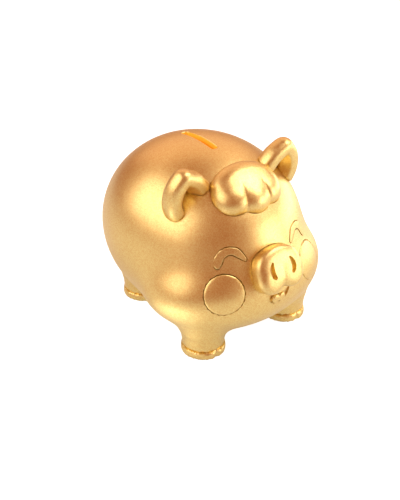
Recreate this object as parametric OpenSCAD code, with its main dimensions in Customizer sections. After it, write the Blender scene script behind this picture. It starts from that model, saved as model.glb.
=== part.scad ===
// A chubby piggy bank of moulded vinyl: a hollow shell with a coin slot in its
// back, ornaments and hooves that peg into it, and a plug under the belly.
// The pig faces -Y, +Z is up, and its hooves stand on z = 0.

/* [Trunk] */
// Width of the round trunk
trunk_w = 120; // [96:1:144]
// Length of the trunk from front to back
trunk_l = 135; // [110:1:162]
// Height of the trunk
trunk_h = 112; // [96:1:134]
// Height of the trunk's centre above the floor
trunk_z = 57.5; // [52:0.5:66]

/* [Face] */
// Width across the cheeks
face_w = 119; // [98:1:142]
// Length of the face from front to back
face_l = 84; // [70:1:100]
// Height of the face
face_h = 63; // [54:1:74]
// How far the face's centre lies in front of the trunk's
face_ahead = 33; // [26:1:38]
// Height of the face's centre above the floor
face_z = 39; // [34:1:46]
// Size of the soft blend between trunk and face
blend = 17; // [8:1:24]

/* [Shell] */
// Thickness of the shell's wall
wall = 3; // [2:0.1:4]
// Height of the flat belly above the floor
belly_z = 10; // [8:0.5:14]
// Radius of the pegs that hold the ornaments
peg_r = 2.5; // [2:0.1:3]
// Clearance around each peg
peg_gap = 0.1; // [0.05:0.05:0.2]

/* [Coin slot] */
// Length of the coin slot
slot_l = 32; // [26:1:40]
// Width of the coin slot
slot_w = 4.6; // [4.4:0.1:6]
// Distance of the slot's middle behind the trunk's centre
slot_back = 1.8; // [-6:0.1:8]

/* [Ears] */
// Distance of each ear's inner root from the middle of the head
ear_inner_x = 21; // [17:0.5:24]
// Distance of each ear's outer root from the middle of the head
ear_outer_x = 41.5; // [38:0.5:43]
// How far the ears sit in front of the trunk's centre
ear_ahead = 31; // [26:0.5:36]
// Height of the ear's rim at the tip above its outer root
ear_h = 22; // [17:0.5:24]
// Thickness of the ear from front to back
ear_rim = 8; // [6:0.5:9]
// Thickness of the ear's back behind its scoop
ear_back_t = 2.2; // [1.5:0.1:3]

/* [Forelock] */
// How far the middle lobe sits in front of the trunk's centre
lock_ahead = 50; // [44:0.5:54]
// Distance from the middle lobe to a side lobe
lock_step = 14.5; // [12:0.5:15]
// Radius of a lobe
lobe_r = 10.5; // [9:0.5:12]
// How far the lobes stand out of the head
lock_proud = 6.5; // [5:0.5:8]

/* [Snout] */
// Radius of the snout's upper round
snout_r = 14; // [12:0.5:17]
// Height above the floor of the place where the snout sits on the face
snout_z = 58.5; // [55:0.5:62]
// How far the snout stands out of the face
snout_d = 8; // [6:0.5:11]
// Distance from the middle of the snout to a nostril
nostril_x = 6; // [5:0.5:7]
// Depth of the nostrils
nostril_d = 2; // [1:0.5:4]
// Radius of the snout's rounded front edge
snout_edge = 3.5; // [2:0.5:4.5]

/* [Cheeks, eyes and mouth] */
// Radius of a cheek disc
cheek_r = 12; // [9:0.5:13]
// Distance of a cheek's centre from the middle of the face
cheek_x = 32.5; // [30:0.5:36]
// Height of a cheek's centre above the floor
cheek_z = 49; // [45:0.5:53]
// How far the cheeks, eyelids and tongue stand out of the face
trim_proud = 0.9; // [0.6:0.1:1.4]
// Radius of the closed eyelid's upper edge
eyelid_r = 8.7; // [7:0.1:10]
// Distance of an eyelid's centre from the middle of the face
eyelid_x = 22.5; // [20:0.5:25]
// Height of an eyelid's centre above the floor
eyelid_z = 69; // [66:0.5:73]
// Outward droop of the eyelids in degrees
eyelid_tilt = 8; // [0:1:15]
// Radius of each half of the tongue
tongue_r = 3; // [2.5:0.1:3.5]
// Height of the tongue's centre above the floor
tongue_z = 40; // [37:0.5:42]

/* [Tail] */
// Height of the tail's centre above the floor
tail_z = 62; // [55:1:70]
// Radius of the tail's curl
tail_curl = 5; // [4:0.5:7]
// Thickness of the tail at its root
tail_t = 5; // [4:0.5:6]
// How far the curl stands away from the back of the pig
tail_out = 6; // [5:0.5:8]

/* [Legs and hooves] */
// Radius of a leg just above its hoof
leg_r = 12.6; // [11:0.2:14]
// Distance of the front legs from the middle
front_leg_x = 32; // [28:0.5:34]
// Distance of the front legs in front of the trunk's centre
front_leg_ahead = 45; // [40:0.5:47]
// Distance of the rear legs from the middle
rear_leg_x = 27; // [24:0.5:32]
// Distance of the rear legs behind the trunk's centre
rear_leg_behind = 28; // [24:0.5:34]
// Height of a hoof
hoof_h = 5; // [4:0.5:6]
// How far a hoof stands out around its leg
hoof_lip = 1.2; // [0.6:0.1:2]
// Thickness of the leg's floor over the hoof
leg_floor = 4; // [3.5:0.5:5]
// Radius of the peg on a hoof
hoof_peg_r = 4; // [3:0.5:6]

/* [Belly plug] */
// Radius of the round hole under the belly
hole_r = 16; // [13:0.5:17]
// Clearance between the plug and its hole
plug_gap = 0.1; // [0.05:0.05:0.1]
// How far the plug's flange reaches past the hole
flange_lip = 2.5; // [2:0.5:3]
// Thickness of the flange
flange_t = 1.8; // [1.4:0.1:2.2]
// Gap between the flange and the belly
flange_gap = 0.2; // [0.2:0.1:0.5]
// Height of the plug above the inside of the wall
plug_rise = 5; // [4:0.5:7]
// Radius of the finger cup in the plug
cup_r = 12.2; // [10:0.2:13]
// Width of the grip bar across the cup
grip_w = 4; // [3:0.5:5]

/* [Hidden] */
$fn = 48;

gold = "goldenrod";
pale_gold = "khaki";
raw_vinyl = "orange";

// The two round masses that the shell blends together, as centre and radii.
trunk_at = [0, 5, trunk_z];
trunk_radii = [trunk_w, trunk_l, trunk_h] / 2;
face_at = [0, trunk_at[1] - face_ahead, face_z];
face_radii = [face_w, face_l, face_h] / 2;
belly_blend = 8;

// A point well inside the shell, from which every part of the skin is in sight.
heart = [0, trunk_at[1] - 5, trunk_z - 5];
far_reach = 2 * max(trunk_w, trunk_l, trunk_h);
search_steps = 26;
skin_around = 56;
skin_up = 34;
cavity_around = 40;
cavity_up = 24;

function unit(v) = v / norm(v);

function ellipsoid_gap(p, at, radii) =
    let (q = [for (i = [0:2]) (p[i] - at[i]) / radii[i]])
    let (slope = norm([for (i = [0:2]) q[i] / radii[i]]))
    norm(q) * (norm(q) - 1) / max(slope, 0.000001);

function soft_min(a, b, k) =
    let (h = max(k - abs(a - b), 0) / k) min(a, b) - h * h * h * k / 6;

// Distance of a point outside the shell's outer skin, negative inside.
function skin_gap(p) =
    let (round_body = soft_min(ellipsoid_gap(p, trunk_at, trunk_radii),
                               ellipsoid_gap(p, face_at, face_radii), blend))
    -soft_min(-round_body, p[2] - belly_z, belly_blend);

function reach(from, dir, level, near, far, steps) =
    let (mid = (near + far) / 2)
    steps == 0 ? mid
    : skin_gap(from + dir * mid) < level ? reach(from, dir, level, mid, far, steps - 1)
    : reach(from, dir, level, near, mid, steps - 1);

function skin_point(from, dir, level = 0) =
    from + dir * reach(from, dir, level, 0, far_reach, search_steps);

function skin_normal(p) =
    unit([for (i = [0:2]) let (step = [for (j = [0:2]) j == i ? 0.2 : 0])
        skin_gap(p + step) - skin_gap(p - step)]);

// Places on the skin, each as a point and its outward normal.
function spot(p) = [p, skin_normal(p)];
function front_spot(x, z) = spot(skin_point([x, heart[1], z], [0, -1, 0]));
function back_spot(x, z) = spot(skin_point([x, heart[1], z], [0, 1, 0]));
function top_spot(x, y) = spot(skin_point([x, y, heart[2]], [0, 0, 1]));
function mirrored(s) = [for (v = s) [-v[0], v[1], v[2]]];

// The snout's two lower rounds: their radius and how far they lie below its centre.
snout_low_r = snout_r * 0.66;
snout_low_x = snout_r * 0.4;
snout_low_y = snout_r * 0.34;

// The snout and the tail bound the pig's length, which the frame's origin halves.
snout_spot = front_spot(0, snout_z);
tail_spot = back_spot(0, tail_z - tail_curl);
snout_lift = asin(snout_spot[1][2]);
snout_front_y = snout_spot[0][1] - snout_edge - (snout_d - snout_edge) * cos(snout_lift)
    - (snout_low_r + snout_low_y - snout_edge) * sin(snout_lift);
tail_end_y = skin_point([0, heart[1], tail_z], [0, 1, 0])[1] + tail_out;
frame_y = -(snout_front_y + tail_end_y) / 2;

ear_y = trunk_at[1] - ear_ahead;
ear_inner_spot = top_spot(ear_inner_x + 1, ear_y);
ear_outer_spot = top_spot(ear_outer_x, ear_y);
lock_run = 11;
lock_side_back = 5;
lock_spot = top_spot(0, trunk_at[1] - lock_ahead + lock_run / 2);
cheek_spot = front_spot(cheek_x, cheek_z);
eyelid_spot = front_spot(eyelid_x, eyelid_z);
eyelid_peg_rise = eyelid_r * 0.4;
tongue_spot = front_spot(0, tongue_z);
side_pegs = [ear_inner_spot, ear_outer_spot, cheek_spot];
middle_pegs = [lock_spot, snout_spot, tail_spot];
peg_l = wall + 1.2;
small_peg_r = 1.4;

hoof_r = leg_r + hoof_lip;
hoof_peg_h = 2.4;
front_leg = [front_leg_x, trunk_at[1] - front_leg_ahead];
rear_leg = [rear_leg_x, trunk_at[1] + rear_leg_behind];
slot_at = [0, trunk_at[1] + slot_back];
slot_corner_r = 1.2;

plug_top_z = belly_z + wall + plug_rise;
plug_bottom_z = belly_z - flange_gap - flange_t;

module in_frame() {
    translate([0, frame_y, 0]) children();
}

// Stands its children on a spot: +Z leaves the skin and +Y climbs it.
module on_spot(s) {
    translate(s[0])
        rotate([0, acos(s[1][2]), atan2(s[1][1], s[1][0])])
            rotate([0, 0, 90]) children();
}

// The skin as a closed surface, at a level outside (or inside) the shell.
module skin(level = 0, around = skin_around, up = skin_up) {
    function dir(i, j) = let (turn = 360 * i / around, rise = 180 * j / up - 90)
        [cos(turn) * cos(rise), sin(turn) * cos(rise), sin(rise)];
    rings = [for (j = [1:up - 1], i = [0:around - 1]) skin_point(heart, dir(i, j), level)];
    last = len(rings);
    function at(i, j) = (j - 1) * around + i % around;
    // The diagonals lean the other way on the right side, so both sides mirror exactly.
    sides = [for (j = [1:up - 2], i = [0:around - 1])
        let (lean = cos(360 * (i + 0.5) / around) < 0 ? 1 : 0)
        each [[at(i, j), at(i, j + 1), at(i + 1, j + 1 - lean)],
              [at(i, j + lean), at(i + 1, j + 1), at(i + 1, j)]]];
    low_cap = [for (i = [0:around - 1]) [last, at(i, 1), at(i + 1, 1)]];
    top_cap = [for (i = [0:around - 1]) [last + 1, at(i + 1, up - 1), at(i, up - 1)]];
    polyhedron(concat(rings, [skin_point(heart, [0, 0, -1], level),
                              skin_point(heart, [0, 0, 1], level)]),
               concat(sides, low_cap, top_cap));
}

// A tube along a path, with an oval section of its own size at each point.
module tube(path, sizes, side_dir, sides = 12) {
    last = len(path) - 1;
    function run(i) = unit(path[min(i + 1, last)] - path[max(i - 1, 0)]);
    function ring(i) = let (b = unit(cross(run(i), side_dir)), a = cross(b, run(i)))
        [for (k = [0:sides - 1]) path[i] + a * sizes[i][0] * cos(360 * k / sides)
                                         + b * sizes[i][1] * sin(360 * k / sides)];
    function at(i, k) = i * sides + k % sides;
    walls = [for (i = [0:last - 1], k = [0:sides - 1])
        each [[at(i, k), at(i + 1, k), at(i + 1, k + 1)],
              [at(i, k), at(i + 1, k + 1), at(i, k + 1)]]];
    ends = [[for (k = [0:sides - 1]) at(0, k)], [for (k = [sides - 1:-1:0]) at(last, k)]];
    polyhedron([for (i = [0:last]) each ring(i)], concat(walls, ends));
}

// A solid with round ends from one point to another.
module capsule(a, b, r) {
    l = norm(b - a);
    d = (b - a) / l;
    arc = 10;
    translate(a) rotate([0, acos(d[2]), atan2(d[1], d[0])])
        rotate_extrude() polygon(concat(
            [for (i = [0:arc]) [r * sin(90 * i / arc), -r * cos(90 * i / arc)]],
            [for (i = [0:arc]) [r * cos(90 * i / arc), l + r * sin(90 * i / arc)]]));
}

// A disc with a rounded front edge, its back at z = 0.
module rounded_disc(r, h, edge) {
    arc = 6;
    rotate_extrude() polygon(concat([[0, 0], [r, 0]],
        [for (i = [0:arc]) [r - edge + edge * cos(90 * i / arc),
                            h - edge + edge * sin(90 * i / arc)]],
        [[0, h]]));
}

module peg(s, r = peg_r) {
    on_spot(s) translate([0, 0, -peg_l]) cylinder(r = r, h = peg_l + trim_proud / 2);
}

module peg_hole(s, r = peg_r) {
    on_spot(s) translate([0, 0, -2 * wall]) cylinder(r = r + peg_gap, h = 3 * wall);
}

// A child kept only between the skin and a level just above it.
module inlay() {
    difference() {
        intersection() {
            children();
            skin(trim_proud);
        }
        skin();
    }
}

module both_sides() {
    children();
    mirror([1, 0, 0]) children();
}

module leg_solid(at) {
    root_z = belly_z + 4 * wall;
    waist = 0.3;
    flare = 1;
    translate([at[0], at[1], 0]) rotate_extrude() polygon([
        [0, hoof_h], [leg_r, hoof_h], [leg_r - waist, hoof_h + 3], [leg_r, hoof_h + 7],
        [leg_r + 0.8 * flare, hoof_h + 11], [leg_r + flare, root_z], [0, root_z]]);
}

module leg_hollow(at) {
    translate([at[0], at[1], hoof_h + leg_floor])
        cylinder(r = leg_r - wall, h = belly_z + wall + 2 - hoof_h - leg_floor);
    translate([at[0], at[1], hoof_h - 1])
        cylinder(r = hoof_peg_r + peg_gap, h = hoof_peg_h + 1.2);
}

module coin_slot() {
    x = slot_w / 2 - slot_corner_r;
    y = slot_l / 2 - slot_corner_r;
    translate([slot_at[0], slot_at[1], heart[2]]) linear_extrude(trunk_h) union() {
        square([slot_w, 2 * y], center = true);
        square([2 * x, slot_l], center = true);
        for (sx = [-1, 1], sy = [-1, 1]) translate([sx * x, sy * y]) circle(slot_corner_r);
    }
}

module body_shell() {
    color(gold) in_frame() difference() {
        union() {
            skin();
            both_sides() leg_solid(front_leg);
            both_sides() leg_solid(rear_leg);
        }
        skin(-wall, cavity_around, cavity_up);
        both_sides() leg_hollow(front_leg);
        both_sides() leg_hollow(rear_leg);
        coin_slot();
        translate([0, 0, belly_z - wall]) cylinder(r = hole_r, h = 3 * wall);
        for (s = side_pegs) {
            peg_hole(s);
            peg_hole(mirrored(s));
        }
        for (s = middle_pegs) peg_hole(s);
        both_sides() peg_hole(eyelid_peg(), small_peg_r);
        peg_hole(tongue_spot, small_peg_r);
    }
}

// One ear: a rounded hood that stands on the head and is scooped out in front.
module ear() {
    steps = 6;
    rim_r = ear_rim / 2;
    scoop_r = rim_r * 0.8;
    scoop_share = 0.55;
    scoop_back = [0, scoop_r - rim_r + ear_back_t, 0];
    low = [0, 0, -rim_r];
    inner = ear_inner_spot[0] + low;
    outer = ear_outer_spot[0] + low;
    tip = [ear_outer_x - 3, ear_y - 3, ear_outer_spot[0][2] + ear_h];
    pull = 2 * tip - (inner + outer) / 2;
    path = [for (i = [0:steps]) let (t = i / steps)
        inner * (1 - t) * (1 - t) + pull * 2 * t * (1 - t) + outer * t * t];
    middle = (inner + outer + tip) / 3;
    difference() {
        hull() for (p = path) translate(p) sphere(rim_r, $fn = 20);
        hull() for (p = path, ahead = [0, 2 * ear_rim])
            translate(middle + (p - middle) * scoop_share - scoop_back - [0, ahead, 0])
                sphere(scoop_r, $fn = 16);
        skin();
    }
    peg(ear_inner_spot);
    peg(ear_outer_spot);
}

module left_ear() {
    color(gold) in_frame() ear();
}

module right_ear() {
    color(gold) in_frame() mirror([1, 0, 0]) ear();
}

module lobe(x, low_y, high_x, high_y) {
    sink = lobe_r - lock_proud;
    low = top_spot(x, low_y);
    high = top_spot(high_x, high_y);
    capsule(low[0] - low[1] * sink, high[0] - high[1] * (sink + 1), lobe_r);
}

module forelock() {
    front_y = trunk_at[1] - lock_ahead;
    back_y = front_y + lock_run;
    side_y = front_y + lock_side_back;
    color(gold) in_frame() {
        difference() {
            union() {
                lobe(0, front_y, 0, back_y);
                lobe(lock_step, side_y, lock_step / 2, back_y);
                lobe(-lock_step, side_y, -lock_step / 2, back_y);
            }
            skin();
        }
        peg(lock_spot);
    }
}

module nostril() {
    bow = 5;
    half_l = 4.5;
    width = 2;
    drop = 0.5;
    translate([nostril_x - bow + 0.8 * width, -drop, snout_d - nostril_d])
        linear_extrude(2 * nostril_d) difference() {
            circle(bow);
            translate([-width, 0]) circle(bow);
            for (s = [-1, 1]) translate([0, s * (half_l + bow)])
                square(2 * bow, center = true);
        }
}

module snout() {
    back = 8;
    low_step = 0.3;
    color(gold) in_frame() {
        difference() {
            on_spot(snout_spot) difference() {
                translate([0, 0, -back]) union() {
                    rounded_disc(snout_r, snout_d + back, snout_edge);
                    for (s = [-1, 1]) translate([s * snout_low_x, -snout_low_y, 0])
                        rounded_disc(snout_low_r, snout_d + back - low_step, snout_edge);
                }
                nostril();
                mirror([1, 0, 0]) nostril();
            }
            skin();
        }
        peg(snout_spot);
    }
}

module cheek(s) {
    inlay() on_spot(s) translate([0, 0, -cheek_r / 2]) cylinder(r = cheek_r, h = cheek_r);
    peg(s);
}

module left_cheek() {
    color(pale_gold) in_frame() cheek(cheek_spot);
}

module right_cheek() {
    color(pale_gold) in_frame() cheek(mirrored(cheek_spot));
}

function eyelid_peg() = front_spot(eyelid_x, eyelid_z + eyelid_peg_rise);

// A closed eye: a crescent with blunt ends, arched upwards.
module eyelid() {
    inner_r = eyelid_r * 0.7;
    low_y = -eyelid_r * 0.6;
    inlay() on_spot(eyelid_spot) rotate([0, 0, -eyelid_tilt])
        translate([0, 0, -eyelid_r / 2]) linear_extrude(eyelid_r) difference() {
            translate([0, -eyelid_r * 0.37]) circle(eyelid_r);
            translate([0, low_y]) circle(inner_r);
            translate([-2 * eyelid_r, low_y - 2 * eyelid_r])
                square([4 * eyelid_r, 2 * eyelid_r]);
        }
    peg(eyelid_peg(), small_peg_r);
}

module left_eyelid() {
    color(pale_gold) in_frame() eyelid();
}

module right_eyelid() {
    color(pale_gold) in_frame() mirror([1, 0, 0]) eyelid();
}

module tongue() {
    color(pale_gold) in_frame() {
        inlay() on_spot(tongue_spot) translate([0, 0, -tongue_r])
            linear_extrude(2 * tongue_r) union() {
                for (s = [-1, 1]) translate([s * tongue_r * 0.9, 0]) circle(tongue_r);
            }
        peg(tongue_spot, small_peg_r);
    }
}

module tail() {
    steps = 34;
    turns = 1.25;
    thin = 0.35;
    root_y = tail_spot[0][1] - 1;
    out = tail_end_y - tail_t * (1 - thin) / 2 - root_y;
    path = [for (i = [0:steps]) let (t = i / steps, a = 360 * turns * t - 90)
        let (r = tail_curl * (1 - 0.3 * t))
        [r * cos(a), root_y + out * t, tail_z + r * sin(a)]];
    sizes = [for (i = [0:steps]) let (r = tail_t / 2 * (1 - thin * i / steps)) [r, r]];
    color(gold) in_frame() {
        difference() {
            tube(path, sizes, [0, 1, 0], 10);
            skin();
        }
        peg(tail_spot);
    }
}

// One hoof: a low rounded foot, cloven at the front, with a peg for the leg.
module hoof(at) {
    cleft = 2.6;
    toe = 1.6;
    color(gold) in_frame() translate([at[0], at[1], 0]) {
        difference() {
            rotate_extrude() polygon([
                [0, 0], [hoof_r - toe, 0], [hoof_r - 0.5, 0.5], [hoof_r, 1.8],
                [hoof_r - 0.1, hoof_h - 1.2], [hoof_r - 0.5, hoof_h - 0.4],
                [hoof_r - 1.1, hoof_h], [0, hoof_h]]);
            translate([0, -hoof_r, -1]) rotate([0, 0, 45])
                translate([-cleft / 2, -cleft / 2, 0]) cube([cleft, cleft, hoof_h + 2]);
        }
        translate([0, 0, hoof_h - 0.5]) cylinder(r = hoof_peg_r, h = hoof_peg_h + 0.5);
    }
}

module front_left_hoof() {
    hoof(front_leg);
}

module front_right_hoof() {
    hoof([-front_leg[0], front_leg[1]]);
}

module rear_left_hoof() {
    hoof(rear_leg);
}

module rear_right_hoof() {
    hoof([-rear_leg[0], rear_leg[1]]);
}

// A soft cup-shaped plug with a flange, and a bar across its cup to pull it by.
module belly_plug() {
    barrel_r = hole_r - plug_gap;
    lead_in = 1.2;
    roof_t = 2;
    grip_sink = 1;
    grip_h = 4.5;
    cup_z = plug_top_z - roof_t;
    color(raw_vinyl) translate([0, frame_y, 0]) {
        rotate_extrude() polygon([
            [cup_r, plug_bottom_z], [hole_r + flange_lip - 0.5, plug_bottom_z],
            [hole_r + flange_lip, plug_bottom_z + 0.5],
            [hole_r + flange_lip, plug_bottom_z + flange_t],
            [barrel_r, plug_bottom_z + flange_t], [barrel_r, plug_top_z - lead_in],
            [barrel_r - lead_in, plug_top_z], [0, plug_top_z], [0, cup_z], [cup_r, cup_z]]);
        intersection() {
            translate([-grip_w / 2, -hole_r, plug_bottom_z + grip_sink])
                cube([grip_w, 2 * hole_r, grip_h]);
            translate([0, 0, plug_bottom_z]) cylinder(r = cup_r + 0.5, h = 2 * grip_h);
        }
    }
}

body_shell();
left_ear();
right_ear();
forelock();
snout();
left_cheek();
right_cheek();
left_eyelid();
right_eyelid();
tongue();
tail();
front_left_hoof();
front_right_hoof();
rear_left_hoof();
rear_right_hoof();
belly_plug();
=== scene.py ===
"""The looks of a satin gold piggy bank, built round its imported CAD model."""

from math import cos, pi, radians, sin

import bmesh
import bpy
import numpy as np
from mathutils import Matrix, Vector


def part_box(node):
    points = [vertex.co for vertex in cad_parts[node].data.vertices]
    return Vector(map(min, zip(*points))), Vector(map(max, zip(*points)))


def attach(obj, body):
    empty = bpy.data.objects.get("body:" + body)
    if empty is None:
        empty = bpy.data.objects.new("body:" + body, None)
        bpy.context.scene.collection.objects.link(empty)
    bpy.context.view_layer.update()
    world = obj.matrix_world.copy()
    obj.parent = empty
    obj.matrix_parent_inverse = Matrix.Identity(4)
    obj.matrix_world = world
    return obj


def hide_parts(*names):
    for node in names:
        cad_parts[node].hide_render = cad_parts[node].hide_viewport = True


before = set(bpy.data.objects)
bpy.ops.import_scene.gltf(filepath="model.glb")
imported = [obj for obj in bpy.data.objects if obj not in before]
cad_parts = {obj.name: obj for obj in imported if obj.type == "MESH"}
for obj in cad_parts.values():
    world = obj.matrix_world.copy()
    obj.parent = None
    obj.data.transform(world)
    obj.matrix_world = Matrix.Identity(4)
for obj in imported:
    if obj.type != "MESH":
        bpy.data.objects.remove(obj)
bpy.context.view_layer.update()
MM = 0.001
scene = bpy.context.scene

# ---------------------------------------------------------------- sizes, in millimetres
plug_low, plug_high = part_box("belly_plug")
FRAME_Y = (plug_low.y + plug_high.y) / 2 / MM
BELLY_Z = 10.0
WALL = 3.0
BLEND = 17.0
BELLY_BLEND = 8.0
TRUNK_AT = np.array([0.0, 5.0 + FRAME_Y, 57.5])
TRUNK_RADII = np.array([60.0, 67.5, 56.0])
FACE_AT = np.array([0.0, -28.0 + FRAME_Y, 39.0])
FACE_RADII = np.array([59.5, 42.0, 31.5])
HEART = np.array([0.0, FRAME_Y, 52.5])
HOOF_H = 5.0
HOOF_R = 13.8
LEG_HEIGHTS = [5, 8, 12, 16, 22, 60]
LEG_RADII = [12.8, 12.9, 13.3, 14.2, 14.8, 14.8]
LEG_TOP = 34
LEG_IN_HOOF = 2.6
LEG_BLEND = 9.0
SEAT_DEPTH = 0.8
FINE_ROOM = 0.25
SEAM_ROOM = 0.3
GROOVE_ROOM = 0.55


def foot(node):
    """The middle of a hoof, read off its CAD node."""
    low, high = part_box(node)
    return (low.x + high.x) / 2 / MM, (low.y + high.y) / 2 / MM


FEET = {n: foot(n + "_hoof") for n in ("front_left", "front_right", "rear_left", "rear_right")}


# ---------------------------------------------------------------- shapes as distances
def soft_min(a, b, k):
    """The nearer of two shapes, rounded over a width k where they meet."""
    h = np.maximum(k - np.abs(a - b), 0) / k
    return np.minimum(a, b) - h * h * h * k / 6


def soft_max(a, b, k):
    return -soft_min(-a, -b, k)


def ellipsoid_gap(p, at, radii):
    q = (p - at) / radii
    reach = np.linalg.norm(q, axis=-1)
    return reach * (reach - 1) / np.maximum(np.linalg.norm(q / radii, axis=-1), 1e-6)


def skin_gap(p):
    """Distance outside the smooth skin of trunk and face, negative inside."""
    round_body = soft_min(ellipsoid_gap(p, TRUNK_AT, TRUNK_RADII),
                          ellipsoid_gap(p, FACE_AT, FACE_RADII), BLEND)
    return soft_max(round_body, BELLY_Z - p[..., 2], BELLY_BLEND)


def leg_gap(p, at):
    """A round leg that ends inside its hoof and fades out up in the trunk."""
    radius = np.interp(p[..., 2], LEG_HEIGHTS, LEG_RADII)
    side = np.hypot(p[..., 0] - at[0], p[..., 1] - at[1]) - radius
    side = soft_max(side, HOOF_H - LEG_IN_HOOF - p[..., 2], 0.5)
    return soft_max(side, p[..., 2] - LEG_TOP, 12.0)


def shell_gap(p):
    """The skin with its four legs flowing out of it."""
    legs = leg_gap(p, FEET["front_left"])
    for at in list(FEET.values())[1:]:
        legs = np.minimum(legs, leg_gap(p, at))
    return soft_min(skin_gap(p), legs, LEG_BLEND)


def slope(field, p, step=0.04):
    """The direction in which a shape's distance grows fastest, and how fast."""
    parts = []
    for axis in np.eye(3) * step:
        parts.append((field(p + axis) - field(p - axis)) / (2 * step))
    return np.stack(parts, axis=-1)


def unit(v):
    return v / np.maximum(np.linalg.norm(v, axis=-1, keepdims=True), 1e-9)


def strike(start, heading, level=0.0, field=skin_gap, far=200.0):
    """The point where a ray from inside reaches the skin."""
    near, beyond = 0.0, far
    for _ in range(50):
        middle = (near + beyond) / 2
        if field(start + heading * middle) < level:
            near = middle
        else:
            beyond = middle
    return start + heading * near


class Spot:
    """A place on the skin with its own axes: across, up the skin, and out."""

    def __init__(self, point):
        self.at = point
        self.out = unit(slope(skin_gap, point))
        self.across = unit(np.array([-self.out[1], self.out[0], 0.0]))
        self.up = np.cross(self.out, self.across)

    def local(self, p):
        d = p - self.at
        return d @ self.across, d @ self.up, d @ self.out

    def world(self, x, y, out):
        return self.at + x * self.across + y * self.up + out * self.out


def front_spot(x, z):
    return Spot(strike(np.array([x, HEART[1], z]), np.array([0.0, -1.0, 0.0])))


def top_spot(x, y):
    return Spot(strike(np.array([x, y, HEART[2]]), np.array([0.0, 0.0, 1.0])))


def back_point(z):
    return strike(np.array([0.0, HEART[1], z]), np.array([0.0, 1.0, 0.0]))


def chain_gap(p, path, radii):
    """Distance outside a tube along a path whose thickness runs through radii."""
    best = np.full(p.shape[:-1], 1e9)
    for a, b, ra, rb in zip(path[:-1], path[1:], radii[:-1], radii[1:]):
        run = b - a
        t = np.clip(((p - a) @ run) / (run @ run), 0, 1)
        gap = np.linalg.norm(p - a - t[..., None] * run, axis=-1) - (ra + (rb - ra) * t)
        best = np.minimum(best, gap)
    return best


def side_of_line(x, z, line):
    """Signed distance from an open line drawn in the XZ plane, positive on its left."""
    best, sign = np.full(x.shape, 1e9), np.ones(x.shape)
    for (ax, az), (bx, bz) in zip(line[:-1], line[1:]):
        rx, rz = bx - ax, bz - az
        t = np.clip(((x - ax) * rx + (z - az) * rz) / (rx * rx + rz * rz), 0, 1)
        dx, dz = x - ax - t * rx, z - az - t * rz
        d = np.hypot(dx, dz)
        nearer = d < best
        best = np.where(nearer, d, best)
        sign = np.where(nearer, np.sign(rx * dz - rz * dx + 1e-12), sign)
    return best * sign


def outline_gap(x, z, outline):
    """Signed distance from a closed outline in the XZ plane, negative inside."""
    best, inside = np.full(x.shape, 1e9), np.zeros(x.shape, bool)
    for (ax, az), (bx, bz) in zip(outline, outline[1:] + outline[:1]):
        rx, rz = bx - ax, bz - az
        t = np.clip(((x - ax) * rx + (z - az) * rz) / (rx * rx + rz * rz), 0, 1)
        best = np.minimum(best, np.hypot(x - ax - t * rx, z - az - t * rz))
        crosses = (az > z) != (bz > z)
        over = x < ax + (z - az) * rx / (rz if abs(rz) > 1e-9 else 1e-9)
        inside ^= crosses & over
    return np.where(inside, -best, best)


def bend(a, b, c, d, steps):
    """Points from b towards c on the soft curve that runs through a, b, c and d."""
    run = []
    for k in range(steps):
        t = k / steps
        q = 0.5 * (2 * b + (c - a) * t + (2 * a - 5 * b + 4 * c - d) * t * t
                   + (3 * b - a - 3 * c + d) * t ** 3)
        run.append((q[0], q[1]))
    return run


def smooth_loop(points, steps=6):
    """A closed loop that runs softly through the points given."""
    pts = [np.array(q, float) for q in points]
    n, loop = len(pts), []
    for i in range(n):
        loop += bend(pts[i - 1], pts[i], pts[(i + 1) % n], pts[(i + 2) % n], steps)
    return loop


def smooth_line(points, steps=5):
    """An open line that runs softly through the points given."""
    pts = [np.array(q, float) for q in points]
    pts = [2 * pts[0] - pts[1]] + pts + [2 * pts[-1] - pts[-2]]
    line = []
    for a, b, c, d in zip(pts[:-3], pts[1:-2], pts[2:-1], pts[3:]):
        line += bend(a, b, c, d, steps)
    return line + [tuple(points[-1])]


# ---------------------------------------------------------------- bench work
def take(*pieces):
    """Selects these pieces and nothing else."""
    if bpy.context.object and bpy.context.object.mode != "OBJECT":
        bpy.ops.object.mode_set(mode="OBJECT")
    bpy.ops.object.select_all(action="DESELECT")
    for piece in pieces:
        piece.select_set(True)
    if pieces:
        bpy.context.view_layer.objects.active = pieces[0]


def points(piece):
    co = np.empty(len(piece.data.vertices) * 3, np.float32)
    piece.data.vertices.foreach_get("co", co)
    return co.reshape(-1, 3).astype(float) / MM


def set_points(piece, p):
    piece.data.vertices.foreach_set("co", (p * MM).astype(np.float32).ravel())
    piece.data.update()


def apply_modifier(piece, kind, **values):
    take(piece)
    modifier = piece.modifiers.new(kind.lower(), kind)
    for key, value in values.items():
        setattr(modifier, key, value)
    bpy.ops.object.modifier_apply(modifier=modifier.name)


def press(piece, field, level=0.0, rounds=6):
    """Presses every point of a piece onto the surface of a shape."""
    p = points(piece)
    for _ in range(rounds):
        g = slope(field, p)
        step = (field(p) - level) / np.maximum((g * g).sum(-1), 0.05)
        p -= np.clip(step, -1.5, 1.5)[:, None] * g
    set_points(piece, p)


def relax(piece, rounds=3):
    take(piece)
    bpy.ops.object.mode_set(mode="EDIT")
    bpy.ops.mesh.select_all(action="SELECT")
    bpy.ops.mesh.vertices_smooth(factor=0.5, repeat=rounds)
    bpy.ops.object.mode_set(mode="OBJECT")


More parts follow.
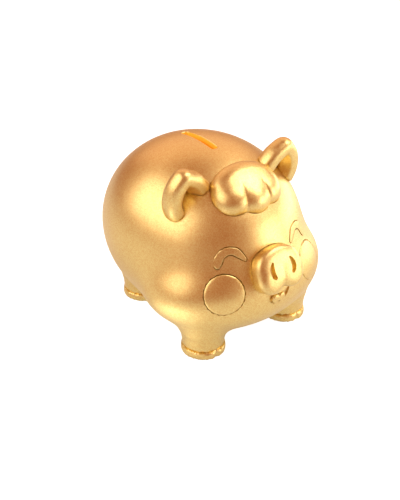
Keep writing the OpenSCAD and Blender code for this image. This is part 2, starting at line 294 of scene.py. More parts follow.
def clay(name, lumps, voxel):
    """Sets down lumps, as (place, radii), and works them into one even skin."""
    balls = []
    take()
    for at, radii in lumps:
        radii = np.broadcast_to(np.asarray(radii, float), 3)
        bpy.ops.mesh.primitive_uv_sphere_add(segments=20, ring_count=12, radius=1,
                                             location=Vector(at) * MM, scale=Vector(radii) * MM)
        balls.append(bpy.context.object)
    take(*balls)
    if len(balls) > 1:
        bpy.ops.object.join()
    bpy.ops.object.transform_apply(location=True, rotation=True, scale=True)
    piece = bpy.context.object
    piece.name = piece.data.name = name
    apply_modifier(piece, "REMESH", mode="VOXEL", voxel_size=voxel * MM)
    return piece


def model(name, lumps, voxel, field, finer=1):
    """Models a piece: clay near the shape, pressed onto it, then refined and pressed again."""
    piece = clay(name, lumps, voxel)
    press(piece, field, rounds=8)
    relax(piece)
    press(piece, field)
    if finer:
        apply_modifier(piece, "SUBSURF", levels=finer, render_levels=finer)
        press(piece, field)
    return piece


def carve(piece, cutter):
    """Cuts one shape out of a piece and clears the cutter away."""
    apply_modifier(piece, "BOOLEAN", operation="DIFFERENCE", solver="MANIFOLD", object=cutter)
    bpy.data.objects.remove(cutter)


def seat(shell, piece, field, room):
    """Sinks a piece into the shell with an even gap round it."""
    cutter = piece.copy()
    cutter.data = piece.data.copy()
    scene.collection.objects.link(cutter)
    press(cutter, field, level=room)
    carve(shell, cutter)


def mirrored(piece, name):
    """The same piece for the other side of the pig."""
    twin = piece.copy()
    twin.data = piece.data.copy()
    twin.name = twin.data.name = name
    scene.collection.objects.link(twin)
    set_points(twin, points(twin) * [-1, 1, 1])
    take(twin)
    bpy.ops.object.mode_set(mode="EDIT")
    bpy.ops.mesh.select_all(action="SELECT")
    bpy.ops.mesh.flip_normals()
    bpy.ops.object.mode_set(mode="OBJECT")
    return twin


def flipped(field):
    return lambda p: field(p * [-1, 1, 1])


def smooth(piece, degrees=40):
    take(piece)
    bpy.ops.object.shade_smooth_by_angle(angle=radians(degrees))


def seated(field):
    """A shape that ends just under the skin it sits in."""
    return lambda p: np.maximum(field(p), -SEAT_DEPTH - skin_gap(p))


# ---------------------------------------------------------------- the ornaments as shapes
EAR_TIP = (36.8, 109.8)
EAR_OUTER = [(32.6, 116.2)] + smooth_line([EAR_TIP, (40.6, 104.2), (42.2, 97.8), (41.0, 91.2),
                                           (36.4, 84.0)])
EAR_INNER = smooth_line([(18.0, 88.5), (23.8, 98.8), (29.8, 105.9), EAR_TIP]) + [(45.6, 112.2)]
EAR_Y = -26.4 + FRAME_Y
EAR_LEAN = 0.12
EAR_BAR = (6.1, 6.4)
EAR_ROUNDNESS = 2.4
EAR_WEB_BACK = 3.9


def ear_middle(z):
    """How far forward the middle of the ear lies at a height, for it leans back as it rises."""
    return EAR_Y - EAR_LEAN * (z - 100)


def ear_shape(p):
    """A rolled rim along two lines that meet at the tip, with a thin web closing its back."""
    x, z = p[..., 0], p[..., 2]
    outer, inner = side_of_line(x, z, EAR_OUTER), side_of_line(x, z, EAR_INNER)
    around = soft_max(outer, inner, np.interp(np.maximum(outer, inner), [-1, 3.5], [0.8, 7.0]))
    ahead = ear_middle(z) - p[..., 1]
    wide, deep = EAR_BAR
    rim = np.abs(around / wide) ** EAR_ROUNDNESS + np.abs(ahead / deep) ** EAR_ROUNDNESS
    rim = (rim ** (1 / EAR_ROUNDNESS) - 1) * wide
    rim = soft_max(rim, -0.85 * around + 0.53 * ahead - 4.9, 0.5)
    back = np.maximum(np.abs(ahead + EAR_WEB_BACK) - 1.1, around)
    return soft_min(rim, back, 1.0)


LOCK = top_spot(0, -38.5 + FRAME_Y)
LOCK_H = 6.8
LOCK_LOBES = [((0, -7.8), 10.2), ((12.2, -4.2), 10.6), ((-12.2, -4.2), 10.6)]
LOCK_CREASE = [(6.8, 0.5), (7.2, -3.5), (7.6, -8.0), (8.2, -12.0), (9.0, -18.0)]


def forelock_shape(p):
    """A dome over three lobes, with a fold deepening down between each pair of lobes."""
    x, y, _ = LOCK.local(p)
    plan = np.stack([x, y], axis=-1)
    outline = ellipsoid_gap(plan, np.array([0, 1.6]), np.array([21.8, 13.4]))
    for (lx, ly), radius in LOCK_LOBES:
        outline = soft_min(outline, np.hypot(x - lx, y - ly) - radius, 7.0)
    best, deep = np.full(x.shape, 1e9), np.zeros(x.shape)
    side, last = np.abs(x), len(LOCK_CREASE) - 1
    for k, ((ax, ay), (bx, by)) in enumerate(zip(LOCK_CREASE[:-1], LOCK_CREASE[1:])):
        rx, ry = bx - ax, by - ay
        t = np.clip(((side - ax) * rx + (y - ay) * ry) / (rx * rx + ry * ry), 0, 1)
        d = np.hypot(side - ax - t * rx, y - ay - t * ry)
        deep = np.where(d < best, (k + t) / last, deep)
        best = np.minimum(best, d)
    fold = 2.3 * deep ** 1.4 * np.exp(-np.sqrt(best ** 2 + 0.05) / 0.85)
    high = skin_gap(p) + fold
    high = np.where(high > 0, high / LOCK_H, high / 14)
    around = np.maximum(1 + outline / 9.5, 0)
    return ((around ** 2.2 + np.abs(high) ** 2.2) ** (1 / 2.2) - 1) * LOCK_H


SNOUT = front_spot(0, 58.5)
SNOUT_ROOT = -6


def pillow(x, y, out, at, radii, top, low):
    """A flat-fronted cushion with an oval outline."""
    q = ((np.hypot((x - at[0]) / radii[0], (y - at[1]) / radii[1])) ** 4.0
         + np.abs((out - (top + low) / 2) / ((top - low) / 2)) ** 4.0) ** (1 / 4.0)
    return (q - 1) * min(radii)


def snout_shape(p):
    x, y, out = SNOUT.local(p)
    upper = pillow(x, y, out, (0, 1.2), (15.8, 11.6), 8.0, SNOUT_ROOT)
    right, left = (pillow(x, y, out, (s * 7.4, -5.6), (8.4, 8.3), 8.3, SNOUT_ROOT) for s in (1, -1))
    return soft_min(upper, soft_min(right, left, 0.7), 5.0)


NOSTRIL = [SNOUT.world(x, y, 0) for x, y in
           ((6.4, 4.3), (7.2, 2.8), (7.7, 1.0), (7.8, -1.0), (7.3, -3.0), (6.6, -4.0))]
NOSTRIL_FLOOR = 5.2
NOSTRIL_TOP = 10


def nostril_shape(p):
    x, y, out = SNOUT.local(p)
    flat = p - out[..., None] * SNOUT.out
    side = chain_gap(flat, NOSTRIL, [0.8, 1.3, 1.6, 1.65, 1.55, 1.2])
    return np.maximum(soft_max(side, NOSTRIL_FLOOR - out, 0.5), out - NOSTRIL_TOP)


CHEEK = front_spot(32.5, 49.0)
CHEEK_R = 12.0


def cheek_shape(p):
    x, y, _ = CHEEK.local(p)
    across = np.hypot(x, y)
    dome = 0.15 + 0.75 * np.clip(1 - (across / CHEEK_R) ** 2, 0, 1)
    return soft_max(across - CHEEK_R, skin_gap(p) - dome, 1.7)


EYELID = smooth_loop([(32.9, 63.2), (33.7, 66.2), (30.6, 71.1), (26.8, 73.5), (23.4, 73.9),
                      (19.3, 72.5), (16.4, 67.2), (17.1, 65.7), (20.4, 67.9), (24.0, 70.1),
                      (27.6, 68.6), (30.5, 63.9), (31.6, 62.9)])


def eyelid_shape(p):
    return soft_max(outline_gap(p[..., 0], p[..., 2], EYELID), skin_gap(p) - 0.3, 0.6)


MOUTH_DEPTH = 1.1
TONGUE_AT = (2.1, 39.7)
TONGUE_R = 2.9


def tongue_shape(p):
    left, right = (np.hypot(p[..., 0] - s * TONGUE_AT[0], p[..., 2] - TONGUE_AT[1]) - TONGUE_R
                   for s in (1, -1))
    tip = soft_max(soft_min(left, right, 0.4), skin_gap(p) - 1.15, 2.4)
    return np.maximum(tip, -MOUTH_DEPTH - skin_gap(p))


MOUTH = smooth_loop([(8.9, 44.3), (5.0, 42.9), (0, 42.4), (-5.0, 42.9), (-8.9, 44.3),
                     (-7.6, 40.6), (-5.2, 37.8), (-2.6, 36.4), (0, 36.7), (2.6, 36.4),
                     (5.2, 37.8), (7.6, 40.6)])


def mouth_shape(p):
    skin = skin_gap(p)
    return np.maximum(outline_gap(p[..., 0], p[..., 2], MOUTH), np.maximum(-MOUTH_DEPTH - skin, skin - 2))


TAIL_ROOT = back_point(57.0)[1] - 1
TAIL_END = back_point(62.0)[1] + 6
TAIL_PATH, TAIL_RADII = [], []
TAIL_Z, TAIL_TURNS = 62, 1.25
for i in range(35):
    t = i / 34
    a, r = 2 * pi * TAIL_TURNS * t - pi / 2, 5 * (1 - 0.3 * t)
    TAIL_PATH.append(np.array([r * cos(a), TAIL_ROOT + (TAIL_END - 1.7 - TAIL_ROOT) * t,
                               TAIL_Z + r * sin(a)]))
    TAIL_RADII.append(2.5 * (1 - 0.35 * t))


def tail_shape(p):
    return chain_gap(p, TAIL_PATH, TAIL_RADII)


def hoof_shape(at):
    def shape(p):
        x, y, z = p[..., 0] - at[0], p[..., 1] - at[1], p[..., 2]
        turn = np.arctan2(x, -y)
        toes = 0.3 * np.exp(-((np.abs(turn) - 0.42) / 0.3) ** 2)
        band = np.interp(z, [0, 1.6, 3.4, 5], [HOOF_R - 0.5, HOOF_R, HOOF_R - 0.1, HOOF_R - 0.4])
        side = np.hypot(x, y) - band - toes + 0.25
        cleft = np.hypot(x, y + HOOF_R + 0.5) - 1.7
        side = soft_max(side, -cleft, 0.8)
        return soft_max(side, np.maximum(z - HOOF_H, -z), 0.45)
    return shape


# ---------------------------------------------------------------- the shell
def make_shell():
    lumps = [(TRUNK_AT, TRUNK_RADII), (FACE_AT, FACE_RADII * 0.98)]
    for x, y in FEET.values():
        lumps += [((x, y, z), 12) for z in (18, 22, 26)]
    shell = clay("shell", lumps, 3.4)
    press(shell, shell_gap, rounds=14)
    relax(shell)
    press(shell, shell_gap)
    apply_modifier(shell, "SUBSURF", levels=2, render_levels=2)
    press(shell, shell_gap)
    return shell


def make_cavity():
    take()
    bpy.ops.mesh.primitive_cube_add(size=0.04, location=Vector(HEART) * MM)
    cavity = bpy.context.object
    bpy.ops.object.transform_apply(location=True, rotation=True, scale=True)
    apply_modifier(cavity, "SUBSURF", levels=5, render_levels=5)
    p = points(cavity)
    heading = unit(p - HEART)
    near, beyond = np.zeros(len(p)), np.full(len(p), 120.0)
    for _ in range(40):
        middle = (near + beyond) / 2
        inside = skin_gap(HEART + heading * middle[:, None]) < -WALL
        near, beyond = np.where(inside, middle, near), np.where(inside, beyond, middle)
    set_points(cavity, HEART + heading * near[:, None])
    return cavity


SLOT_MID = 6.8 + FRAME_Y
SLOT_HALF = (2.3, 16.0)
SLOT_CORNER = 1.6
HOLE_R = 16


def make_slot_cutter():
    """A coin-shaped plug whose top flares over the skin, for a slot with soft lips."""
    ring = []
    for sx, sy, start in ((1, 1, 0), (-1, 1, 90), (-1, -1, 180), (1, -1, 270)):
        for k in range(7):
            a = radians(start + 15 * k)
            ring.append((sx * (SLOT_HALF[0] - SLOT_CORNER), sy * (SLOT_HALF[1] - SLOT_CORNER),
                         cos(a), sin(a)))
    dense = []
    for i, (x, y, ca, sa) in enumerate(ring):
        dense.append((x, y, ca, sa))
        ny = ring[(i + 1) % len(ring)][1]
        if abs(ny - y) > 5:
            for k in range(1, 24):
                dense.append((x, y + (ny - y) * k / 24, ca, sa))

    def loop(spread, lift, base=None):
        """One ring round the slot, following the skin unless it has a height of its own."""
        out = []
        for x, y, ca, sa in dense:
            px = x + ca * (SLOT_CORNER + spread)
            py = SLOT_MID + y + sa * (SLOT_CORNER + spread)
            if base is None:
                pz = strike(np.array([px, py, HEART[2]]), np.array([0, 0, 1.0]))[2] + lift
            else:
                pz = base
            out.append((px, py, pz))
        return out
    loops = [loop(0, 0, 90.0), loop(0, -1.0), loop(0.08, -0.5), loop(0.25, -0.2),
             loop(0.55, 0.0), loop(0.9, 0.12), loop(0.9, 3.0)]
    n = len(dense)
    verts = [tuple(c * MM for c in q) for ring_points in loops for q in ring_points]
    faces = [tuple(range(n - 1, -1, -1)), tuple(range((len(loops) - 1) * n, len(loops) * n))]
    for j in range(len(loops) - 1):
        for i in range(n):
            k = (i + 1) % n
            faces.append((j * n + i, j * n + k, (j + 1) * n + k, (j + 1) * n + i))
    mesh = bpy.data.meshes.new("slot_cutter")
    mesh.from_pydata(verts, [], faces)
    cutter = bpy.data.objects.new("slot_cutter", mesh)
    scene.collection.objects.link(cutter)
    return cutter


def make_hole_cutter():
    take()
    bpy.ops.mesh.primitive_cylinder_add(vertices=128, radius=HOLE_R * MM, depth=20 * MM,
                                        location=Vector((0, FRAME_Y, 12)) * MM)
    cutter = bpy.context.object
    bpy.ops.object.transform_apply(location=True, rotation=True, scale=True)
    return cutter


def true_skin_normals(shell):
    """Lets the outer skin shine as evenly as its true shape, whatever was carved from it."""
    smooth(shell, 35)
    mesh = shell.data
    corners = np.empty(len(mesh.loops) * 3, np.float32)
    mesh.corner_normals.foreach_get("vector", corners)
    corners = corners.reshape(-1, 3).astype(float)
    at = np.empty(len(mesh.loops), np.int32)
    mesh.loops.foreach_get("vertex_index", at)
    p = points(shell)
    gap, lean = shell_gap(p), unit(slope(shell_gap, p))
    sizes = np.empty(len(mesh.polygons), np.int32)
    mesh.polygons.foreach_get("loop_total", sizes)
    facing = np.empty(len(mesh.polygons) * 3, np.float32)
    mesh.polygons.foreach_get("normal", facing)
    facing = np.repeat(facing.reshape(-1, 3), sizes, axis=0)
    true = (np.abs(gap[at]) < 0.05) & ((lean[at] * facing).sum(-1) > 0.9)
    corners[true] = lean[at][true]
    mesh.normals_split_custom_set(unit(corners).tolist())


def lumps_over(outline, inset, reach, step):
    """Flat lumps on the skin that fill an outline, to start a thin piece from."""
    xs, zs = [q[0] for q in outline], [q[1] for q in outline]
    lumps = []
    for x in np.arange(min(xs), max(xs) + step, step):
        for z in np.arange(min(zs), max(zs) + step, step):
            if outline_gap(np.array([x]), np.array([z]), outline)[0] < -inset:
                lumps.append((front_spot(x, z).at, reach))
    return lumps


# ---------------------------------------------------------------- making the pieces
shell = make_shell()

ear_field = seated(ear_shape)
ear_lumps = []
for line in (EAR_OUTER[1:], EAR_INNER[:-1]):
    for x, z in line:
        if skin_gap(np.array([x, EAR_Y, z])) > -4:
            ear_lumps.append(((x, ear_middle(z), z), 4.4))
for x in np.arange(20, 42, 2.0):
    for z in np.arange(80, 108, 2.0):
        gap = max(side_of_line(np.array([x]), np.array([z]), EAR_OUTER)[0],
                  side_of_line(np.array([x]), np.array([z]), EAR_INNER)[0])
        if gap < -1 and skin_gap(np.array([x, EAR_Y, z])) > -3.5:
            ear_lumps.append(((x, ear_middle(z) + EAR_WEB_BACK, z), (2.2, 1.2, 2.2)))
left_ear = model("ear_left", ear_lumps, 0.85, ear_field)
seat(shell, left_ear, ear_field, FINE_ROOM)
right_ear = mirrored(left_ear, "ear_right")
seat(shell, right_ear, flipped(ear_field), FINE_ROOM)

forelock_field = seated(forelock_shape)
forelock_lumps = []
for x in np.arange(-21, 22, 3.0):
    for y in np.arange(-18, 15, 3.0):
        under = LOCK.world(x, y, -25)
        if forelock_shape(strike(under, LOCK.out)) < -1.5:
            forelock_lumps.append((strike(under, LOCK.out) + LOCK.out * 1.5, 3.4))
forelock = model("forelock_tuft", forelock_lumps, 0.8, forelock_field)
seat(shell, forelock, forelock_field, SEAM_ROOM)

snout_field = seated(snout_shape)
snout_lumps = [(SNOUT.world(x, y, h), r) for x, y, r in
               ((0, 3, 10), (5, 4, 8), (-5, 4, 8), (6.5, -5.5, 7), (-6.5, -5.5, 7), (0, -3, 8))
               for h in (0, 1.5)]
snout = model("snout_disc", snout_lumps, 0.9, snout_field)
seat(shell, snout, snout_field, SEAM_ROOM)
nostril_run = NOSTRIL + [(a + b) / 2 for a, b in zip(NOSTRIL[:-1], NOSTRIL[1:])]
nostril_lumps = [(q + SNOUT.out * h, 0.95) for q in nostril_run for h in (6.2, 7.2, 8.2, 9.2)]
nostril = model("nostril_cutter", nostril_lumps, 0.5, nostril_shape)
carve(snout, mirrored(nostril, "nostril_cutter_right"))
carve(snout, nostril)

cheek_field = seated(cheek_shape)
cheek_lumps = []
for ring, count in ((0, 1), (3.5, 7), (7, 14), (10.2, 20)):
    for k in range(count):
        a = 2 * pi * k / count
        under = CHEEK.world(ring * cos(a), ring * sin(a), -18)
        cheek_lumps.append((strike(under, CHEEK.out), 1.9))
left_cheek = model("cheek_left", cheek_lumps, 0.7, cheek_field)
seat(shell, left_cheek, cheek_field, GROOVE_ROOM)
right_cheek = mirrored(left_cheek, "cheek_right")
seat(shell, right_cheek, flipped(cheek_field), GROOVE_ROOM)

eyelid_field = seated(eyelid_shape)
left_eyelid = model("eyelid_left", lumps_over(EYELID, 0.7, 1.1, 1.0), 0.5, eyelid_field)
seat(shell, left_eyelid, eyelid_field, GROOVE_ROOM)
right_eyelid = mirrored(left_eyelid, "eyelid_right")
seat(shell, right_eyelid, flipped(eyelid_field), GROOVE_ROOM)

mouth = model("mouth_cutter", lumps_over(MOUTH, 0.3, 1.2, 1.0), 0.5, mouth_shape)
carve(shell, mouth)
tongue_lumps = [(front_spot(s * TONGUE_AT[0], TONGUE_AT[1]).at, 2.6) for s in (-1, 1)]
tongue = model("tongue_tip", tongue_lumps, 0.45, tongue_shape)

tail_field = seated(tail_shape)
tail_lumps = [(q, r * 0.9) for q, r in zip(TAIL_PATH, TAIL_RADII)]
tail = model("tail_curl", tail_lumps, 0.7, tail_field)
seat(shell, tail, tail_field, FINE_ROOM)

front_hoof = model("hoof_front_left", [((*FEET["front_left"], 2.5), (12.5, 12.5, 2.4))], 0.8,
                   hoof_shape(FEET["front_left"]))
hooves = {"front_left": front_hoof}
for place in ("front_right", "rear_left", "rear_right"):
    hoof = front_hoof.copy()
    hoof.data = front_hoof.data.copy()
    hoof.name = hoof.data.name = "hoof_" + place
    scene.collection.objects.link(hoof)
    step = np.array([*FEET[place], 0]) - np.array([*FEET["front_left"], 0])
    set_points(hoof, points(hoof) + step)
    hooves[place] = hoof

carve(shell, make_cavity())
carve(shell, make_slot_cutter())
carve(shell, make_hole_cutter())
true_skin_normals(shell)


# ---------------------------------------------------------------- the plug
FLANGE_R, FLANGE_H = 18.5, 1.8
BARREL_R, BARREL_TOP_R, LEAD_IN = 15.9, 14.7, 1.2
CUP_R, CUP_ROOF = 12.2, 2.0
GRIP_SIZE = (4, 24.8, 4.5)
GRIP_Z = 3.25


def make_plug():
    """A soft cup with a flange, turned and then cut open, with a grip bar across."""
    low, high = plug_low.z / MM, plug_high.z / MM
    take()
    bpy.ops.mesh.primitive_cylinder_add(vertices=96, radius=FLANGE_R * MM, depth=FLANGE_H * MM,
                                        location=Vector((0, FRAME_Y, low + FLANGE_H / 2)) * MM)
    plug = bpy.context.object
    plug.name = plug.data.name = "pull_plug"
    bpy.ops.object.transform_apply(location=True, rotation=True, scale=True)

    def pick(height):
        """Selects the one round flat face at a height."""
        bpy.ops.mesh.select_all(action="DESELECT")
        work = bmesh.from_edit_mesh(plug.data)
        for face in work.faces:
            flat = abs(face.normal.z) > 0.9
            near = abs(face.calc_center_median().z / MM - height) < 0.05
            face.select_set(flat and near and len(face.verts) > 8)
        bmesh.update_edit_mesh(plug.data)

    bpy.ops.object.mode_set(mode="EDIT")
    pick(low + FLANGE_H)
    bpy.ops.mesh.inset(thickness=(FLANGE_R - BARREL_R) * MM)
    bpy.ops.mesh.extrude_region_move(
        TRANSFORM_OT_translate={"value": (0, 0, (high - low - FLANGE_H - LEAD_IN) * MM)})
    bpy.ops.mesh.extrude_region_move(TRANSFORM_OT_translate={"value": (0, 0, LEAD_IN * MM)})
    bpy.ops.transform.resize(value=(BARREL_TOP_R / BARREL_R, BARREL_TOP_R / BARREL_R, 1))
    pick(low)
    bpy.ops.mesh.inset(thickness=(FLANGE_R - CUP_R) * MM)
    bpy.ops.mesh.extrude_region_move(
        TRANSFORM_OT_translate={"value": (0, 0, (high - low - CUP_ROOF) * MM)})
    bpy.ops.object.mode_set(mode="OBJECT")
    take()
    bpy.ops.mesh.primitive_cube_add(size=1, location=Vector((0, FRAME_Y, low + GRIP_Z)) * MM,
                                    scale=Vector(GRIP_SIZE) * MM)
    grip = bpy.context.object
    bpy.ops.object.transform_apply(location=True, rotation=True, scale=True)
    apply_modifier(grip, "BEVEL", width=0.9 * MM, segments=4)
    apply_modifier(plug, "BOOLEAN", operation="UNION", solver="EXACT", object=grip)
    bpy.data.objects.remove(grip)
    apply_modifier(plug, "BEVEL", width=0.35 * MM, segments=3, limit_method="ANGLE",
                   angle_limit=radians(50))
    smooth(plug, 40)
    return plug


plug = make_plug()
for piece in (left_ear, right_ear, forelock, snout, left_cheek, right_cheek, left_eyelid,
              right_eyelid, tongue, tail, *hooves.values()):
    smooth(piece, 50)


# ---------------------------------------------------------------- finishes
def node_group(name, inputs, outputs):
    group = bpy.data.node_groups.new(name, "ShaderNodeTree")
    for label, kind, value in inputs:
        socket = group.interface.new_socket(label, in_out="INPUT", socket_type=kind)
        if value is not None:
            socket.default_value = value
    for label, kind in outputs:
        group.interface.new_socket(label, in_out="OUTPUT", socket_type=kind)
    return group, group.nodes.new("NodeGroupInput"), group.nodes.new("NodeGroupOutput")


def math_node(tree, operation, a, b, clamp=False):
    node = tree.nodes.new("ShaderNodeMath")
    node.operation, node.use_clamp = operation, clamp
    for socket, value in zip(node.inputs, (a, b)):
        if isinstance(value, (int, float)):
            socket.default_value = value
        else:
            tree.links.new(value, socket)
    return node.outputs[0]


def noise(tree, where, scale, detail=2.0, roughness=0.5):
    node = tree.nodes.new("ShaderNodeTexNoise")
    node.inputs["Detail"].default_value = detail
    node.inputs["Roughness"].default_value = roughness
    if isinstance(scale, (int, float)):
        node.inputs["Scale"].default_value = scale
    else:
        tree.links.new(scale, node.inputs["Scale"])
    tree.links.new(where, node.inputs["Vector"])
    return node.outputs["Fac"]


def metal_flake_group():
    """The fine glitter of metal flakes in paint: a colour, a shine and a height."""
    group, given, result = node_group(
        "metal_flake",
        [("Place", "NodeSocketVector", None), ("Grain", "NodeSocketFloat", 1800.0),
         ("Dark", "NodeSocketColor", (0.7, 0.4, 0.15, 1)),
         ("Bright", "NodeSocketColor", (0.9, 0.6, 0.25, 1)),
         ("Shine Low", "NodeSocketFloat", 0.34), ("Shine High", "NodeSocketFloat", 0.46)],
        [("Color", "NodeSocketColor"), ("Shine", "NodeSocketFloat"),
         ("Height", "NodeSocketFloat")])
    flakes = group.nodes.new("ShaderNodeTexVoronoi")
    group.links.new(given.outputs["Place"], flakes.inputs["Vector"])
    group.links.new(given.outputs["Grain"], flakes.inputs["Scale"])
    split = group.nodes.new("ShaderNodeSeparateColor")
    group.links.new(flakes.outputs["Color"], split.inputs["Color"])
    cloud = noise(group, given.outputs["Place"], 45.0, 3.0)
    blend = math_node(group, "ADD", math_node(group, "MULTIPLY", split.outputs[0], 0.75),
                      math_node(group, "MULTIPLY", cloud, 0.25))
    mix = group.nodes.new("ShaderNodeMix")
    mix.data_type = "RGBA"
    group.links.new(blend, mix.inputs["Factor"])
    group.links.new(given.outputs["Dark"], mix.inputs["A"])
    group.links.new(given.outputs["Bright"], mix.inputs["B"])
    group.links.new(mix.outputs["Result"], result.inputs["Color"])
    spread = group.nodes.new("ShaderNodeMapRange")
    group.links.new(split.outputs[1], spread.inputs["Value"])
    group.links.new(given.outputs["Shine Low"], spread.inputs["To Min"])
    group.links.new(given.outputs["Shine High"], spread.inputs["To Max"])
    group.links.new(spread.outputs["Result"], result.inputs["Shine"])
    group.links.new(split.outputs[2], result.inputs["Height"])
    return group


def soft_waviness_group():
    """The slight unevenness of sprayed paint on a moulded skin, as a mask."""
    group, given, result = node_group(
        "soft_waviness", [("Place", "NodeSocketVector", None), ("Scale", "NodeSocketFloat", 60.0)],
        [("Height", "NodeSocketFloat")])
    group.links.new(noise(group, given.outputs["Place"], given.outputs["Scale"], 3.0),
                    result.inputs["Height"])
    return group


FLAKE = metal_flake_group()
WAVES = soft_waviness_group()


def new_material(name):
    material = bpy.data.materials.new(name)
    material.use_nodes = True
    return material, material.node_tree, material.node_tree.nodes["Principled BSDF"]


def place_group(tree, group, place, **values):
    node = tree.nodes.new("ShaderNodeGroup")
    node.node_tree = group
    tree.links.new(place, node.inputs["Place"])
    for key, value in values.items():
        node.inputs[key.replace("_", " ")].default_value = value
    return node


def gold_paint():
    material, tree, shader = new_material("satin_gold_paint")
    place = tree.nodes.new("ShaderNodeTexCoord").outputs["Object"]
    flake = place_group(tree, FLAKE, place, Grain=2100.0, Dark=(0.8, 0.54, 0.17, 1),
                        Bright=(0.94, 0.8, 0.32, 1), Shine_Low=0.33, Shine_High=0.43)
    waves = place_group(tree, WAVES, place, Scale=70.0)
    tree.links.new(flake.outputs["Color"], shader.inputs["Base Color"])
    tree.links.new(flake.outputs["Shine"], shader.inputs["Roughness"])
    shader.inputs["Metallic"].default_value = 1.0
    shader.inputs["Coat Weight"].default_value = 0.25
    shader.inputs["Coat Roughness"].default_value = 0.3
    grain = tree.nodes.new("ShaderNodeBump")
    grain.inputs["Strength"].default_value = 0.3
    grain.inputs["Distance"].default_value = 0.0001
    tree.links.new(flake.outputs["Height"], grain.inputs["Height"])
    swell = tree.nodes.new("ShaderNodeBump")
    swell.inputs["Strength"].default_value = 0.05
    swell.inputs["Distance"].default_value = 0.0004
    tree.links.new(waves.outputs["Height"], swell.inputs["Height"])
    tree.links.new(grain.outputs["Normal"], swell.inputs["Normal"])
    tree.links.new(swell.outputs["Normal"], shader.inputs["Normal"])
    return material


def raw_vinyl_with_painted_glow():
    material, tree, shader = new_material("raw_golden_vinyl_painted_glow")
    place = tree.nodes.new("ShaderNodeTexCoord").outputs["Object"]
    flake = place_group(tree, FLAKE, place, Grain=900.0, Dark=(0.84, 0.45, 0.03, 1),
                        Bright=(0.9, 0.53, 0.045, 1), Shine_Low=0.42, Shine_High=0.6)
    tree.links.new(flake.outputs["Color"], shader.inputs["Base Color"])
    tree.links.new(flake.outputs["Shine"], shader.inputs["Roughness"])
    # Painted glow: the vinyl gives off light in its own colour, standing in for light shining through the
    # translucent skin.
    tree.links.new(flake.outputs["Color"], shader.inputs["Emission Color"])
    shader.inputs["Emission Strength"].default_value = 0.25
    grain = tree.nodes.new("ShaderNodeBump")
    grain.inputs["Strength"].default_value = 0.2
    grain.inputs["Distance"].default_value = 0.0001
    tree.links.new(flake.outputs["Height"], grain.inputs["Height"])
    tree.links.new(grain.outputs["Normal"], shader.inputs["Normal"])
    return material


GOLD, VINYL_WITH_PAINTED_GLOW = gold_paint(), raw_vinyl_with_painted_glow()
for piece in (shell, left_ear, right_ear, forelock, snout, left_cheek, right_cheek, left_eyelid,
              right_eyelid, tongue, tail, *hooves.values()):
    piece.data.materials.clear()
    piece.data.materials.append(GOLD)
# The plug takes the same raw vinyl, painted glow and all.
plug.data.materials.clear()
plug.data.materials.append(VINYL_WITH_PAINTED_GLOW)


def bare_the_inside(shell):
    """The cavity, the slot's walls and the plug's hole show unpainted vinyl, whose material adds a
    painted glow.
    """
    shell.data.materials.append(VINYL_WITH_PAINTED_GLOW)
    count = len(shell.data.polygons)
    middle = np.empty(count * 3, np.float32)
    shell.data.polygons.foreach_get("center", middle)
    middle = middle.reshape(-1, 3).astype(float) / MM
    gap = skin_gap(middle)
    in_slot = ((np.abs(middle[:, 0]) < SLOT_HALF[0] + 0.1) & (middle[:, 2] > 90)
               & (np.abs(middle[:, 1] - SLOT_MID) < SLOT_HALF[1] + 0.1) & (gap < -0.45))
    in_hole = (np.hypot(middle[:, 0], middle[:, 1] - FRAME_Y) < HOLE_R + 0.1) & (middle[:, 2] < 14)
    bare = ((gap < -WALL + 0.2) & (middle[:, 2] > BELLY_Z + 1)) | in_slot | in_hole
    feet = np.zeros(count, bool)
    for x, y in FEET.values():
        feet |= (np.hypot(middle[:, 0] - x, middle[:, 1] - y) < 15) & (middle[:, 2] < 12.5)
    shell.data.polygons.foreach_set("material_index", (bare & ~feet).astype(np.int32))


bare_the_inside(shell)

# ---------------------------------------------------------------- what each piece stands for
for piece, node in ((shell, "body_shell"), (left_ear, "left_ear"), (right_ear, "right_ear"),
                    (forelock, "forelock"), (snout, "snout"), (left_cheek, "left_cheek"),
                    (right_cheek, "right_cheek"), (left_eyelid, "left_eyelid"),
                    (right_eyelid, "right_eyelid"), (tongue, "tongue"), (tail, "tail"),
                    (hooves["front_left"], "front_left_hoof"),
                    (hooves["front_right"], "front_right_hoof"),
                    (hooves["rear_left"], "rear_left_hoof"),
                    (hooves["rear_right"], "rear_right_hoof")):
    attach(piece, "shell")
    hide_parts(node)
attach(plug, "plug")
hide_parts("belly_plug")


# ---------------------------------------------------------------- studio
def heading(turn, rise):
    """A direction by its turn from the pig's front and its rise, in degrees."""
    a, e = radians(turn), radians(rise)
    return Vector((sin(a) * cos(e), -cos(a) * cos(e), sin(e)))


def softbox(name, turn, rise, distance, wide, tall, power, tint=(1, 1, 1)):
    light = bpy.data.lights.new(name, "AREA")
    light.shape, light.size, light.size_y = "RECTANGLE", wide, tall
    light.energy, light.color = power, tint
    lamp = bpy.data.objects.new(name, light)
    scene.collection.objects.link(lamp)
    aim = Vector((0, 0, 0.055))
    lamp.location = aim + heading(turn, rise) * distance
    lamp.rotation_euler = heading(turn, rise).to_track_quat("Z", "Y").to_euler()
    return lamp


softbox("left_softbox", -104, 36, 0.75, 1.06, 0.56, 3.8)
softbox("right_panel", 84, 0, 0.7, 0.6, 0.36, 1.9)
softbox("front_right_panel", 36, 8, 0.65, 0.36, 0.34, 1.15)
softbox("upper_right_softbox", 56, 54, 0.8, 0.55, 0.5, 3.2)
softbox("back_panel", 148, 38, 0.9, 1.2, 0.8, 2.1, (1, 0.78, 0.66))


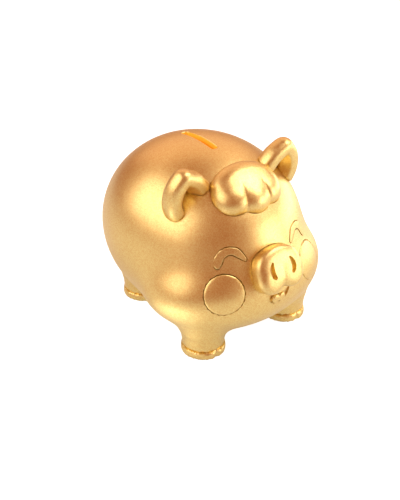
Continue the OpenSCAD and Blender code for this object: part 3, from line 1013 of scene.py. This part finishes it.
def white_studio():
    """Surroundings seen as white, but felt by the gold as a dim warm room."""
    world = bpy.data.worlds.new("white_studio")
    scene.world = world
    world.use_nodes = True
    tree = world.node_tree
    tree.nodes.clear()
    out = tree.nodes.new("ShaderNodeOutputWorld")
    seen, felt = (tree.nodes.new("ShaderNodeBackground") for _ in range(2))
    seen.inputs["Color"].default_value = (1, 1, 1, 1)
    felt.inputs["Color"].default_value = (1, 0.3, 0.13, 1)
    felt.inputs["Strength"].default_value = 0.4
    path = tree.nodes.new("ShaderNodeLightPath")
    swap = tree.nodes.new("ShaderNodeMixShader")
    tree.links.new(path.outputs["Is Camera Ray"], swap.inputs["Fac"])
    tree.links.new(felt.outputs[0], swap.inputs[1])
    tree.links.new(seen.outputs[0], swap.inputs[2])
    tree.links.new(swap.outputs[0], out.inputs["Surface"])


# Centre and fall-off of a painted pool of light on the floor beside the pig's right cheek.
PAINTED_LIGHT_POOL_AT = (-0.108, -0.045, 0)
PAINTED_LIGHT_POOL_FADE = 16.0


def pale_paper():
    """Pale paper that glows a little, with a painted pool of light beside the pig's right cheek, clear
    from below.
    """
    paper, tree, shader = new_material("pale_paper")
    place = tree.nodes.new("ShaderNodeTexCoord").outputs["Object"]
    tint = tree.nodes.new("ShaderNodeMix")
    tint.data_type = "RGBA"
    tint.inputs["A"].default_value = (0.53, 0.55, 0.56, 1)
    tint.inputs["B"].default_value = (0.56, 0.58, 0.6, 1)
    tree.links.new(noise(tree, place, 30.0, 4.0), tint.inputs["Factor"])
    tree.links.new(tint.outputs["Result"], shader.inputs["Base Color"])
    shader.inputs["Roughness"].default_value = 0.9
    shader.inputs["Emission Color"].default_value = (1, 1, 1, 1)
    look = tree.nodes.new("ShaderNodeLightPath")
    glow = math_node(tree, "MULTIPLY", look.outputs["Is Camera Ray"], 0.7)
    near = tree.nodes.new("ShaderNodeVectorMath")
    near.operation = "DISTANCE"
    near.inputs[1].default_value = PAINTED_LIGHT_POOL_AT
    tree.links.new(place, near.inputs[0])
    # Painted pool of light: stronger emission near that spot, over an even faint glow.
    fade = math_node(tree, "MULTIPLY", near.outputs["Value"], PAINTED_LIGHT_POOL_FADE)
    painted_light_pool = math_node(tree, "SUBTRACT", 1.0, fade, clamp=True)
    painted_light_pool = math_node(tree, "ADD", math_node(tree, "MULTIPLY", painted_light_pool, 1.7), 0.25)
    tree.links.new(math_node(tree, "ADD", glow, painted_light_pool), shader.inputs["Emission Strength"])
    clear = tree.nodes.new("ShaderNodeBsdfTransparent")
    under = tree.nodes.new("ShaderNodeNewGeometry")
    show = tree.nodes.new("ShaderNodeMixShader")
    tree.links.new(under.outputs["Backfacing"], show.inputs["Fac"])
    tree.links.new(shader.outputs[0], show.inputs[1])
    tree.links.new(clear.outputs[0], show.inputs[2])
    tree.links.new(show.outputs[0], tree.nodes["Material Output"].inputs["Surface"])
    return paper


white_studio()
take()
bpy.ops.mesh.primitive_plane_add(size=6, location=(0, 0, 0))
floor = bpy.context.object
floor.name = "studio_floor"
floor.data.materials.append(pale_paper())

scene.view_settings.view_transform = "Standard"

VIEW_TURN, VIEW_RISE, VIEW_DISTANCE = -36.8, 28.8, 0.526

camera_data = bpy.data.cameras.new("view")
camera_data.lens = 60.6
camera_data.shift_x, camera_data.shift_y = -0.0119, -0.0663
camera_data.clip_start = 0.01
camera = bpy.data.objects.new("view", camera_data)
scene.collection.objects.link(camera)
back = heading(VIEW_TURN, VIEW_RISE)
camera.location = Vector((0, FRAME_Y * MM, 0.062)) + back * VIEW_DISTANCE
camera.rotation_euler = back.to_track_quat("Z", "Y").to_euler()
scene.camera = camera
